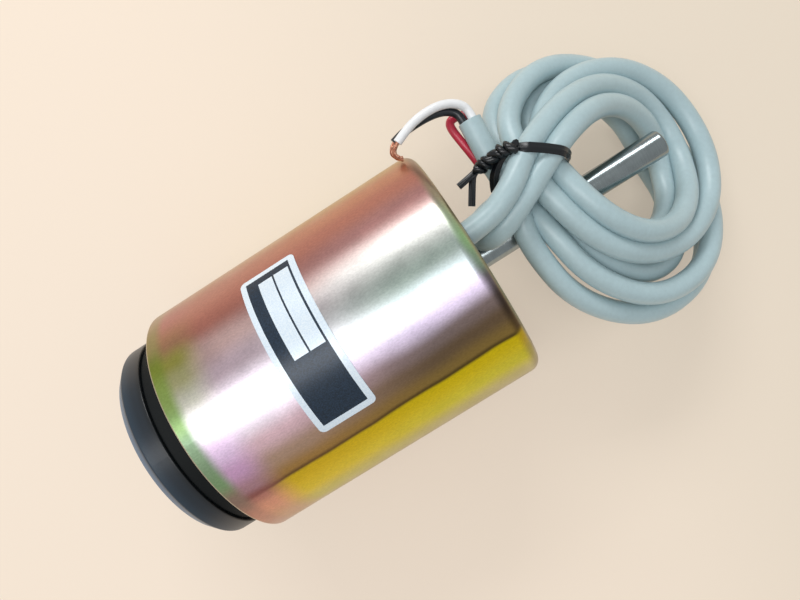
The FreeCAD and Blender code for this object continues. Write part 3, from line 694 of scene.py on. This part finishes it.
# %% Make the cores
CORE_RADIUS = 1.2
WHITE_POINTS = [(18.4, 32.4, 12.1), (18.6, 34.5, 12.1), (17.8, 36.6, 12.8), (15.4, 38.5, 13.8),
                (11.8, 39.6, 14.8), (7.2, 39.7, 15.5), (2.4, 38.8, 16.0), (-1.9, 37.0, 16.0)]
BLACK_POINTS = [(15.9, 32.6, 11.2), (16.1, 34.6, 11.2), (15.0, 36.7, 11.4), (12.6, 38.2, 11.9),
                (8.9, 39.0, 12.4), (4.4, 39.1, 13.0), (0.6, 38.8, 13.4), (-2.6, 37.9, 13.4)]
RED_POINTS = [(18.6, 32.4, 9.0), (18.6, 34.0, 8.6), (17.0, 35.2, 8.2), (15.0, 35.7, 8.0),
              (13.2, 35.4, 8.2), (12.6, 33.6, 8.6), (13.0, 29.6, 8.7), (13.6, 25.4, 8.4), (14.1, 21.4, 7.6)]
for colour, points, web_colour in (("white", WHITE_POINTS, "#EEF0F2"), ("black", BLACK_POINTS, "#20262C"),
                                   ("red", RED_POINTS, "#C4374C")):
    core = soft_tube("core_%s_sleeve" % colour, points, CORE_RADIUS, 6)
    core.data.materials.append(moulded(colour + " PVC core insulation", web_colour, 0.28, 0.9, 0.08, 0.04))
    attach(core, "housing")
    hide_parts("core_" + colour)

# %% [markdown]
# Two things on the cable repeat along a path: the fine copper wires that are twisted into each
# bared core end, and the two ends of the wire tie that are twisted together.
# One Geometry Nodes tree makes both. It copies the path once for each strand, turns each copy
# a share of the circle further, moves it outwards and sweeps a section along it.
# Its inputs are the number of strands, how far they lie from the path, how often they go round
# it and their section. Each strand could be worked out in mesh code as well, but here a change
# of one input lays them all anew.

# %% Nodes for laid strands
STRAND_INPUTS = [
    ("Strands", "NodeSocketInt"), ("Lay Radius", "NodeSocketFloat"), ("Turns", "NodeSocketFloat"),
    ("Spread", "NodeSocketFloat"), ("Seed", "NodeSocketInt"), ("Half Width", "NodeSocketFloat"),
    ("Half Height", "NodeSocketFloat"), ("Finish", "NodeSocketMaterial")]
laid = bpy.data.node_groups.new("laid_strands", "GeometryNodeTree")
laid.interface.new_socket("Path", in_out="INPUT", socket_type="NodeSocketGeometry")
for socket_name, socket_type in STRAND_INPUTS:
    laid.interface.new_socket(socket_name, in_out="INPUT", socket_type=socket_type)
laid.interface.new_socket("Strands", in_out="OUTPUT", socket_type="NodeSocketGeometry")
given = add(laid, "NodeGroupInput").outputs

path = add(laid, "GeometryNodeMeshToCurve", links={0: given["Path"]})
copies = add(laid, "GeometryNodeDuplicateElements", domain="SPLINE",
             links={"Geometry": path.outputs[0], "Amount": given["Strands"]})
named = add(laid, "GeometryNodeStoreNamedAttribute", {"Name": "strand"}, domain="CURVE", data_type="INT",
            links={"Geometry": copies.outputs["Geometry"], "Value": copies.outputs["Duplicate Index"]})
named_strand = add(laid, "GeometryNodeInputNamedAttribute", {"Name": "strand"}, data_type="INT")
strand = named_strand.outputs["Attribute"]
travel = add(laid, "GeometryNodeSplineParameter").outputs["Factor"]
step_of_circle = add(laid, "ShaderNodeMath", operation="DIVIDE", links={0: strand, 1: given["Strands"]})
laid_turns = add(laid, "ShaderNodeMath", operation="MULTIPLY_ADD",
                 links={0: travel, 1: given["Turns"], 2: step_of_circle.outputs[0]})
angle = add(laid, "ShaderNodeMath", {1: 2 * math.pi}, {0: laid_turns.outputs[0]}, operation="MULTIPLY")
tilted = add(laid, "GeometryNodeSetCurveTilt", links={"Curve": named.outputs[0], "Tilt": angle.outputs[0]})
chance = add(laid, "FunctionNodeRandomValue", {2: -1.0, 3: 1.0}, data_type="FLOAT",
             links={"ID": strand, "Seed": given["Seed"]})
loose = add(laid, "ShaderNodeMath", operation="MULTIPLY", links={0: chance.outputs[1], 1: given["Spread"]})
opening = add(laid, "ShaderNodeMath", operation="MULTIPLY", links={0: loose.outputs[0], 1: travel})
reach = add(laid, "ShaderNodeMath", operation="ADD", links={0: opening.outputs[0], 1: given["Lay Radius"]})
outward = add(laid, "GeometryNodeInputNormal").outputs["Normal"]
offset = add(laid, "ShaderNodeVectorMath", operation="SCALE", links={0: outward, 3: reach.outputs[0]})
moved = add(laid, "GeometryNodeSetPosition",
            links={"Geometry": tilted.outputs[0], "Offset": offset.outputs[0]})
ring = add(laid, "GeometryNodeCurvePrimitiveCircle", {"Resolution": 10, "Radius": 1.0}, mode="RADIUS")
section_size = add(laid, "ShaderNodeCombineXYZ", {"Z": 1.0},
                   {"X": given["Half Height"], "Y": given["Half Width"]})
section = add(laid, "GeometryNodeTransform",
              links={"Geometry": ring.outputs[0], "Scale": section_size.outputs[0]})
swept = add(laid, "GeometryNodeCurveToMesh", {"Fill Caps": True},
            {"Curve": moved.outputs[0], "Profile Curve": section.outputs[0]})
rounded = add(laid, "GeometryNodeSetShadeSmooth", links={0: swept.outputs[0]})
real = add(laid, "GeometryNodeRealizeInstances", links={0: rounded.outputs[0]})
finished = add(laid, "GeometryNodeSetMaterial",
               links={"Geometry": real.outputs[0], "Material": given["Finish"]})
add(laid, "NodeGroupOutput", links={0: finished.outputs[0]})
print("nodes for laid strands:", len(laid.nodes))


# %% Lay strands along a path
def path_line(points):
    """Return the places along a smooth spline near the points, in metres."""
    guide = soft_tube("guide", points, 0)
    line = line_of(guide.data)
    bpy.data.objects.remove(guide)
    return line


def lay_strands(name, points, **amounts):
    """Make a plain mesh of strands laid along a path."""
    line = path_line(points)
    mesh = bpy.data.meshes.new(name)
    mesh.from_pydata([tuple(place) for place in line], [(k, k + 1) for k in range(len(line) - 1)], [])
    guide = make_object(name + "_guide", mesh)
    modifier = guide.modifiers.new("laid", "NODES")
    modifier.node_group = laid
    for item in laid.interface.items_tree:
        if item.in_out == "INPUT" and item.name in amounts:
            modifier[item.identifier] = amounts[item.name]
    evaluated = guide.evaluated_get(bpy.context.evaluated_depsgraph_get())
    plain = bpy.data.meshes.new_from_object(evaluated)
    bpy.data.objects.remove(guide)
    return make_object(name, plain)


print("strand helpers ready")


# %% [markdown]
# The bared ends are bunches of soft copper wires, 0.3 mm thick.
# The insulation stripper left them a little splayed, and they turn down to the case's shoulder.
# Single wires catch the light one by one, which one thick twisted bar wouldn't do.

# %% Make the bared wires
STAIN_MM = 0.91
copper, tree, shader, place = start_material("bare annealed copper", {"Metallic": 1.0, "Roughness": 0.34})
stain = add(tree, "ShaderNodeTexNoise", {"Scale": 1 / (STAIN_MM * MM), "Detail": 2.0}, {"Vector": place})
copper_tones = set_ramp(add(tree, "ShaderNodeValToRGB", links={"Fac": stain.outputs["Fac"]}),
                        [(0.3, "#B87660"), (0.7, "#E8B89C")])
tree.links.new(copper_tones, shader.inputs["Base Color"])

BARE_ENDS = [
    ("bare_wires_white", [(-1.2, 37.3, 16.0), (-2.6, 36.7, 15.9), (-3.9, 35.7, 15.6), (-4.3, 34.6, 15.1),
                          (-3.8, 33.6, 14.6), (-2.8, 33.0, 14.2)]),
    ("bare_wires_black", [(-1.9, 38.1, 13.4), (-3.2, 37.6, 13.5), (-4.3, 36.6, 13.7), (-4.6, 35.4, 13.6),
                          (-4.0, 34.3, 13.2), (-3.1, 33.7, 12.8)]),
]
for number, (name, points) in enumerate(BARE_ENDS):
    wires = lay_strands(name, points, **{
        "Strands": 9, "Lay Radius": 0.42 * MM, "Turns": 0.9, "Spread": 0.3 * MM, "Seed": 3 + number,
        "Half Width": 0.15 * MM, "Half Height": 0.15 * MM, "Finish": copper})
    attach(wires, "housing")
    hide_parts("bare_strands")
    print(name, "faces:", len(wires.data.polygons))

# %% [markdown]
# The wire tie is a flat black plastic tape with a steel wire along its middle, which shows as a
# raised line. It is drawn round the crossing turns, and its two ends are twisted like a rope and
# then spread.
# A curve's own bevel would let the tape roll as it likes. So at each point a facing tells which
# way the tape's flat side looks, and the tape bends over the turns and doesn't cut into them.

# %% Make the flat tape
# The section in half widths and half thicknesses. The bump on its upper side is the steel wire.
TAPE_SECTION = [
    (-1, 0), (-0.86, 0.6), (-0.3, 0.6), (-0.18, 1.3), (0, 1.6), (0.18, 1.3), (0.3, 0.6), (0.86, 0.6),
    (1, 0), (0.86, -0.6), (-0.86, -0.6)]


def tape(name, stretches, finish):
    """Make flat tape along stretches of (points with facings, width, thickness)."""
    vertices, faces = [], []
    for stretch, width, thickness in stretches:
        line = path_line([point for point, facing in stretch]) / MM
        facings = np.array([facing for point, facing in stretch], float)
        at = np.linspace(0, len(stretch) - 1, len(line))
        facing_line = np.stack([np.interp(at, range(len(stretch)), facing) for facing in facings.T], axis=1)
        ahead = np.gradient(line, axis=0)
        ahead /= np.linalg.norm(ahead, axis=1)[:, None]
        facing_line -= (facing_line * ahead).sum(axis=1)[:, None] * ahead
        facing_line /= np.linalg.norm(facing_line, axis=1)[:, None]
        sideways = np.cross(facing_line, ahead)
        first, count = len(vertices), len(TAPE_SECTION)
        for place, up, side in zip(line, facing_line, sideways):
            for across_tape, out in TAPE_SECTION:
                vertices.append(place + side * across_tape * width / 2 + up * out * thickness / 2)
        for ring_number in range(len(line) - 1):
            base = first + ring_number * count
            for k in range(count):
                after = (k + 1) % count
                faces.append((base + k, base + after, base + count + after, base + count + k))
        faces.append(tuple(range(first + count - 1, first - 1, -1)))
        faces.append(tuple(range(first + (len(line) - 1) * count, first + len(line) * count)))
    piece = mesh_piece(name, vertices, faces, finish)
    piece.data.set_sharp_from_angle(angle=math.radians(50))
    return piece


tie_plastic = moulded("black plastic tie tape", "#14181C", 0.26, 0.5, 0.3, 0.2)
# Each point comes with its facing. The strap goes over the two upper turns, down their right
# side, under the bundle and up again.
STRAP = [
    ((21.6, 19.4, 19.0), (-0.4, 0.4, 0.9)), ((24.2, 17.9, 21.0), (0, 0, 1)),
    ((27.0, 16.1, 19.9), (0, 0, 1)), ((29.8, 14.1, 19.2), (0.1, 0, 1)),
    ((32.9, 11.6, 18.0), (0.5, -0.5, 0.8)), ((34.2, 9.8, 14.0), (0.6, -0.8, 0.1)),
    ((34.2, 9.2, 9.0), (0.8, -0.6, 0)), ((34.0, 9.6, 3.0), (0.8, -0.5, -0.3)),
    ((31.5, 11.6, -1.6), (0.2, -0.1, -1)), ((26.0, 15.0, -1.6), (0, 0, -1)),
    ((20.6, 18.6, -0.8), (-0.3, 0.2, -1)), ((18.2, 20.0, 3.5), (-1, 0.4, 0)),
    ((19.6, 19.6, 9.5), (-1, 0.4, 0)), ((20.3, 19.7, 14.5), (-0.9, 0.4, 0.1)),
    ((21.2, 19.6, 18.6), (-0.8, 0.4, 0.5)),
]
TAIL_LEFT = [
    ((12.6, 19.8, 15.6), (0, 0, 1)), ((10.6, 19.6, 15.3), (0.1, 0.3, 1)),
    ((8.0, 19.1, 15.7), (0, 0.2, 1)), ((5.4, 18.7, 16.4), (0, 0, 1)),
]
TAIL_DOWN = [
    ((12.4, 20.2, 15.3), (0, 0.2, 1)), ((10.4, 19.6, 15.0), (-0.3, 0, 1)),
    ((8.8, 17.4, 15.2), (-0.2, 0, 1)), ((7.2, 15.0, 15.7), (0, 0, 1)), ((5.6, 12.6, 16.3), (0.1, 0, 1)),
]
TUCKED_END = [
    ((21.4, 20.2, 18.4), (0, 0.3, 1)), ((18.6, 19.2, 16.6), (-0.2, 0.3, 1)),
    ((15.9, 17.3, 15.0), (-0.2, 0.2, 1)), ((14.0, 15.2, 14.0), (-0.2, 0.3, 1)),
    ((13.2, 12.6, 13.0), (-0.1, 0.3, 1)),
]
# Each stretch has its width and thickness.
strap = tape("tie_tape", [
    (STRAP, 2.6, 0.45), (TAIL_LEFT, 1.8, 0.4), (TAIL_DOWN, 1.9, 0.4), (TUCKED_END, 2.5, 0.4)], tie_plastic)
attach(strap, "housing")
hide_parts("twist_tie")
print("tie tape faces:", len(strap.data.polygons))

# %% [markdown]
# Between the strap and its two tails the ends are twisted together, with the steel wires inside.
# A bent tape could be twisted point by point, but two flat strands that go round each other are
# just what the nodes for laid strands make.

# %% Make the twisted stretch
TWISTED_POINTS = [(22.4, 19.2, 20.2), (20.8, 20.0, 19.4), (18.4, 20.5, 17.9), (15.6, 20.1, 16.8),
                  (13.2, 20.0, 15.9), (11.4, 19.8, 15.4)]
twisted = lay_strands("tie_twist", TWISTED_POINTS, **{
    "Strands": 2, "Lay Radius": 0.95 * MM, "Turns": 2.8, "Spread": 0.0, "Seed": 1,
    "Half Width": 1.25 * MM, "Half Height": 0.85 * MM, "Finish": tie_plastic})
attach(twisted, "housing")
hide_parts("twist_tie")
print("twisted stretch faces:", len(twisted.data.polygons))

# %% [markdown]
# The table is pale card under the light of a plain room.
# A long soft panel overhead draws the bright line along the top of the case, and a window lamp
# to one side draws the second, fainter one on its front half.
# The world fills in evenly, at a level where a colour renders about as it is written.
# Spot lamps would draw harder edges, but the picture's shadows are soft.

# %% Floor, light and view
def flat_sheet(name, half_width, height):
    """Make a level square."""
    mesh = bpy.data.meshes.new(name)
    corners = [(-half_width, -half_width), (half_width, -half_width), (half_width, half_width),
               (-half_width, half_width)]
    mesh.from_pydata([(x, y, height) for x, y in corners], [], [(0, 1, 2, 3)])
    return make_object(name, mesh)


GLOW = 0.38
FADE_START, FADE_END = -0.12, 0.16
floor = flat_sheet("table", half_width=2.0, height=FLOOR_HEIGHT * MM)
card, tree, shader, place = start_material("matt card, pale peach", {
    "Roughness": 0.85, "Specular IOR Level": 0.15})
split = add(tree, "ShaderNodeSeparateXYZ", links={0: place})
# The card's tone is a painted shade: it darkens slowly along the object, away from the lit side.
fade = add(tree, "ShaderNodeMapRange", {"From Min": FADE_START, "From Max": FADE_END},
           {"Value": split.outputs["X"]}, interpolation_type="SMOOTHSTEP")
card_tones_and_falloff = set_ramp(add(tree, "ShaderNodeValToRGB", links={"Fac": fade.outputs[0]}),
                      [(0.0, "#F8E8D6"), (1.0, "#E9DCCA")])
tree.links.new(card_tones_and_falloff, shader.inputs["Base Color"])
# To the camera and to shiny metal the card also glows a little, so the room seems pale all round,
# while the object's soft shadow stays.
ray = add(tree, "ShaderNodeLightPath")
seen = add(tree, "ShaderNodeMath", operation="ADD", use_clamp=True,
           links={0: ray.outputs["Is Camera Ray"], 1: ray.outputs["Is Glossy Ray"]})
glow_share = add(tree, "ShaderNodeMath", {1: GLOW}, {0: seen.outputs[0]}, operation="MULTIPLY")
glow = add(tree, "ShaderNodeEmission", {"Strength": 1.0}, {"Color": card_tones_and_falloff})
lifted = add(tree, "ShaderNodeMixShader",
             links={0: glow_share.outputs[0], 1: shader.outputs[0], 2: glow.outputs[0]})
tree.links.new(lifted.outputs[0], tree.nodes["Material Output"].inputs["Surface"])
floor.data.materials.append(card)
print("floor ready")


# %% Lamps and world
def soft_lamp(name, place, target, size, watts, spin=0.0):
    """Make a rectangular lamp that faces a target, spun by some degrees about its own axis."""
    light = bpy.data.lights.new(name, "AREA")
    light.shape = "RECTANGLE"
    light.size, light.size_y = size
    light.energy = watts
    lamp = make_object(name, light)
    place, target = Vector(place), Vector(target)
    lamp.location = place
    facing = (place - target).to_track_quat("Z", "Y").to_matrix()
    lamp.rotation_euler = (facing @ Matrix.Rotation(math.radians(spin), 3, "Z")).to_euler()


soft_lamp("ceiling_panel", place=(-0.3, 0.03, 1.2), target=(-0.3, 0.03, 0.0), size=(0.95, 0.42), watts=5.4,
          spin=-20.0)
soft_lamp("window", place=(0.2, 0.85, 0.6), target=(0.0, 0.0, 0.0), size=(0.66, 0.27), watts=4.6)

ROOM_LIGHT = 0.47
world = bpy.data.worlds.new("room")
world.use_nodes = True
bpy.context.scene.world = world
world.node_tree.nodes["Background"].inputs["Color"].default_value = linear("#FFFFFF")
world.node_tree.nodes["Background"].inputs["Strength"].default_value = ROOM_LIGHT
bpy.context.scene.view_settings.view_transform = "Standard"
print("lamps ready")
